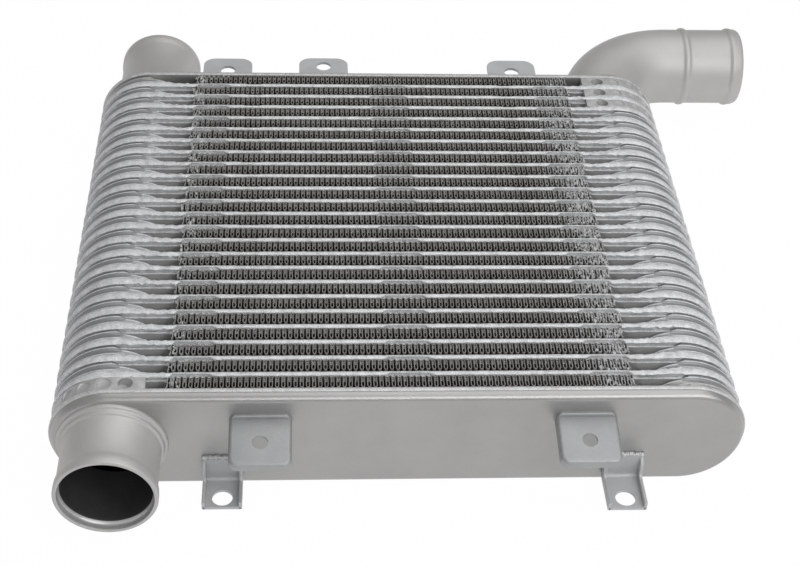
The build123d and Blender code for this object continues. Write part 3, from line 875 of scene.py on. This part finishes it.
def shelf_flange(x):
    """The shelf's root, which lies flat on the cover."""
    bm = bmesh.new()
    front_y = FRONT_FACE_Y - SHEET
    box_shape(bm, (SHELF_FLANGE_WIDTH, SHEET, SHELF_FLANGE_HEIGHT),
              (x, FRONT_FACE_Y - SHEET / 2, SHELF_FLANGE_MIDDLE))
    ends = edges_where(bm, lambda a, b: abs(a.y - b.y) > 1 and a.z > 60)
    round_edges(bm, ends, 2.2, 4)
    brow = edges_where(bm, lambda a, b: min(a.z, b.z) > 58 and max(a.y, b.y) < front_y + 0.1)
    round_edges(bm, brow, 1.1, 3)
    return bm


def weld_run(bm, start, end, size, seed):
    """A short rough weld: overlapping lumps along a line."""
    dice = random.Random(seed)
    start, end = Vector(start), Vector(end)
    count = max(int((end - start).length / (size * 0.8)), 2)
    for step in range(count + 1):
        at = start.lerp(end, step / count)
        radius = size * dice.uniform(0.8, 1.15)
        off = Vector((0, dice.uniform(-0.15, 0.15), dice.uniform(-0.3, 0.3))) * size
        lump_at(bm, at + off, radius)


FOOT_TOP, FOOT_SEAT = 25.0, 6.0
FOOT_DROP = FOOT_TOP - FOOT_SEAT
FOOT_HALF_WIDTH = 12.0
FOOT_FLANGE = 6.0
FOOT_BEND = 4.5
FOOT_HOLE = 6.25
FOOT_SIDE_CURVE, FOOT_SIDE_EDGE = 3.4, 0.45
FOOT_WELD = 1.5


def foot_side(side, reach):
    """One turned-up side of the foot's channel."""
    outline = [(0, 0), (-FOOT_FLANGE, -3.0), (-FOOT_FLANGE, FOOT_FLANGE - FOOT_DROP),
               (-reach, FOOT_FLANGE - FOOT_DROP), (-reach, -FOOT_DROP), (0, -FOOT_DROP)]
    plate = bmesh.new()
    section_edges(plate, [(side * FOOT_HALF_WIDTH, y, z) for y, z in outline], True)
    bmesh.ops.contextual_create(plate, geom=plate.edges[:])
    made = bmesh.ops.extrude_face_region(plate, geom=plate.faces[:])["geom"]
    bmesh.ops.translate(plate, vec=(-side * SHEET, 0, 0), verts=verts_in(made))
    bmesh.ops.recalc_face_normals(plate, faces=plate.faces)
    across = edges_where(plate, lambda a, b: abs(a.x - b.x) > 1)
    inner = [edge for edge in across if abs(edge.verts[0].co.y + FOOT_FLANGE) < ALMOST]
    root = [edge for edge in across
            if abs(edge.verts[0].co.y) < ALMOST and edge.verts[0].co.z < -1]
    round_edges(plate, inner + root, FOOT_SIDE_CURVE, 5)
    outline_edges = edges_where(plate, lambda a, b: abs(a.x - b.x) < ALMOST)
    round_edges(plate, outline_edges, FOOT_SIDE_EDGE, 2)
    return plate


def foot_bracket(name, x, reach, hole_reach):
    """Channel strip: down the cover, then out as a flat foot, with both sides turned up."""
    bm = bmesh.new()
    half = FOOT_HALF_WIDTH - 1
    straight = FOOT_DROP - FOOT_BEND
    geometry = section_edges(bm, [(-half, -0.05, 0.0), (half, -0.05, 0.0)], False)
    geometry = run(bm, geometry, (0, 0, -straight), 1)
    geometry = turn(bm, geometry, (0, -FOOT_BEND, -straight), (1, 0, 0), -math.pi / 2, 6)
    run(bm, geometry, (0, FOOT_BEND - reach, 0), 1)
    bmesh.ops.recalc_face_normals(bm, faces=bm.faces)
    if sum(face.normal.z for face in bm.faces) > 0:
        bmesh.ops.reverse_faces(bm, faces=bm.faces)
    bmesh.ops.solidify(bm, geom=bm.faces[:], thickness=SHEET)
    bm = drill(bm, (0, -hole_reach, SHEET / 2 - FOOT_DROP), FOOT_HOLE)
    for side in (-1, 1):
        join(bm, foot_side(side, reach))
    bmesh.ops.translate(bm, vec=(x, FRONT_FACE_Y, FOOT_TOP), verts=bm.verts)
    add_piece(bm, f"folded_{name}", name, [foot_metal], 30)
    bead = bmesh.new()
    weld_y, weld_z = FRONT_FACE_Y - 0.6, FOOT_TOP + 0.6
    weld_run(bead, (x - half, weld_y, weld_z), (x + half, weld_y, weld_z), FOOT_WELD, name)
    add_piece(bead, f"weld_over_{name}", None, [weld_and_highlight_metal], 80, tidy=False)


LUG_WIDTH = 37.0
LUG_CORNER = 9.0
LUG_HOLE = 5.6
LUG_ROOT = 9.0
LUG_WELD = 1.2


def rear_lug(name, x, top, reach, hole_reach):
    """Flat lug welded on the rear cover, with its root turned down."""
    bm = bmesh.new()
    box_shape(bm, (LUG_WIDTH, reach, SHEET), (0, reach / 2, -SHEET / 2))
    corners = edges_where(bm, lambda a, b: abs(a.z - b.z) > 1 and a.y > 1)
    round_edges(bm, corners, LUG_CORNER, 8)
    bm = drill(bm, (0, hole_reach, -SHEET / 2), LUG_HOLE)
    box_shape(bm, (LUG_WIDTH, SHEET, LUG_ROOT), (0, SHEET / 2, -1 - LUG_ROOT / 2))
    weld_run(bm, (-17, 0.4, 0.2), (17, 0.4, 0.2), LUG_WELD, name)
    bmesh.ops.translate(bm, vec=(x, REAR_FACE_Y, top), verts=bm.verts)
    add_piece(bm, name, None, [foot_metal], 30, tidy=False)


# Stage, lights and camera

CAMERA_PLACE = Vector((-59.628, -650.978, 709.355))
CAMERA_PITCH, CAMERA_YAW, CAMERA_ROLL = 0.7119, 0.0845, 0.0538
CAMERA_LENS = 68.885
WORLD_LIGHT = 0.37
FLOOR_GLOW = 0.985
FLOOR_COLOUR = (0.86, 0.86, 0.86, 1)
FLOOR_BELOW = 0.0004


def place_camera():
    forward = Vector((math.sin(CAMERA_YAW) * math.cos(CAMERA_PITCH),
                      math.cos(CAMERA_YAW) * math.cos(CAMERA_PITCH), -math.sin(CAMERA_PITCH)))
    level = Vector((math.cos(CAMERA_YAW), -math.sin(CAMERA_YAW), 0))
    above = level.cross(forward)
    right = math.cos(CAMERA_ROLL) * level + math.sin(CAMERA_ROLL) * above
    up = -math.sin(CAMERA_ROLL) * level + math.cos(CAMERA_ROLL) * above
    turned = Matrix((right, up, -forward)).transposed()
    data = bpy.data.cameras.new("camera")
    data.lens = CAMERA_LENS
    data.sensor_width = 36.0
    data.clip_start = 0.01
    camera = bpy.data.objects.new("camera", data)
    camera.matrix_world = Matrix.Translation(TO_ROW @ CAMERA_PLACE) @ turned.to_4x4()
    bpy.context.scene.collection.objects.link(camera)
    bpy.context.scene.camera = camera


def seen_directly(nodes, links):
    """1 where the camera, a mirror or a pane looks, and 0 for the light that falls on the part."""
    path = nodes.new("ShaderNodeLightPath").outputs
    first = worked_out(nodes, links, "MAXIMUM", path["Is Camera Ray"], path["Is Glossy Ray"])
    return worked_out(nodes, links, "MAXIMUM", first, path["Is Transmission Ray"])


def white_world():
    world = bpy.data.worlds.new("surroundings")
    bpy.context.scene.world = world
    world.use_nodes = True
    nodes, links = world.node_tree.nodes, world.node_tree.links
    background = nodes["Background"]
    background.inputs["Color"].default_value = (1, 1, 1, 1)
    to_camera = nodes.new("ShaderNodeLightPath").outputs["Is Camera Ray"]
    strength = spread(nodes, links, to_camera, WORLD_LIGHT, 1.0)
    links.new(strength, background.inputs["Strength"])


def pale_floor():
    """Looks white, and still takes the part's shadow."""
    mesh = bpy.data.meshes.new("floor")
    bm = bmesh.new()
    bmesh.ops.create_grid(bm, x_segments=1, y_segments=1, size=6.0)
    bmesh.ops.translate(bm, vec=(0, 0, -FLOOR_BELOW), verts=bm.verts)
    bm.to_mesh(mesh)
    bm.free()
    floor = bpy.data.objects.new("floor", mesh)
    bpy.context.scene.collection.objects.link(floor)
    material = bpy.data.materials.new("pale_floor")
    material.use_nodes = True
    nodes, links = material.node_tree.nodes, material.node_tree.links
    nodes.clear()
    matt = nodes.new("ShaderNodeBsdfDiffuse")
    matt.inputs["Color"].default_value = FLOOR_COLOUR
    glow = nodes.new("ShaderNodeEmission")
    glow.inputs["Strength"].default_value = 1.0
    mix = nodes.new("ShaderNodeMixShader")
    share = spread(nodes, links, seen_directly(nodes, links), 0.0, FLOOR_GLOW)
    links.new(share, mix.inputs["Fac"])
    links.new(matt.outputs["BSDF"], mix.inputs[1])
    links.new(glow.outputs["Emission"], mix.inputs[2])
    surface = nodes.new("ShaderNodeOutputMaterial").inputs["Surface"]
    links.new(mix.outputs["Shader"], surface)
    mesh.materials.append(material)


def soft_lamp(name, place, size, power):
    """A wide lamp that shines at the part."""
    data = bpy.data.lights.new(name, "AREA")
    data.shape = "RECTANGLE"
    data.size, data.size_y = size
    data.energy = power
    lamp = bpy.data.objects.new(name, data)
    lamp.location = place
    lamp.rotation_euler = (-Vector(place)).to_track_quat("-Z", "Y").to_euler()
    bpy.context.scene.collection.objects.link(lamp)


def spacers():
    header_spacer("front_header_spacer", -1, FRONT_PLATE_Y + CLOSING_PLATE_HALF, -TUBE_HALF)
    for gap in range(REAR_SPACER_COUNT):
        behind = CLOSING_PLATE_HALF if gap == 0 else TUBE_HALF
        header_spacer(f"rear_header_spacer_{gap + 1}", 1, row_y(gap) + TUBE_HALF,
                      row_y(gap) + PITCH - behind)


def make_all():
    for index in range(TUBE_COUNT):
        pressed_tube(index)
    for index in range(TUBE_COUNT + 1):
        fin_row(index)
        flux_lumps(index)
    end_cover("front_end_plate", FRONT_PLATE_Y, -1, [LEFT_PORT_X])
    end_cover("rear_end_plate", REAR_PLATE_Y, 1, [LEFT_REAR_PORT_X, END_X])
    hose_stub("front_hose_stub", LEFT_PORT_X, FRONT_FACE_Y, -1, 43.0)
    hose_stub("rear_hose_stub", LEFT_REAR_PORT_X, REAR_FACE_Y, 1, 60.0)
    outlet_elbow()
    spacers()
    shelf_bracket("left_shelf_bracket", -84.0)
    shelf_bracket("right_shelf_bracket", 109.2)
    # x, then reach and place of the hole, both from the cover
    foot_bracket("left_foot_bracket", -107.5, 24.5, 17.0)
    foot_bracket("right_foot_bracket", 136.5, 28.5, 20.5)
    # x, top, then reach and place of the hole, both from the cover
    rear_lug("lug_left", -116.0, 62.0, 35.8, 19.8)
    rear_lug("lug_middle", -43.0, 68.0, 27.8, 16.8)
    rear_lug("lug_right", 102.5, 62.0, 35.8, 19.8)


place_camera()
white_world()
pale_floor()
soft_lamp("top_softbox", (0.4, 0.2, 1.6), (2.0, 1.6), 12.5)
soft_lamp("front_softbox", (0.6, -1.3, 1.2), (2.0, 0.7), 15)
bpy.context.scene.view_settings.view_transform = "Standard"
make_all()
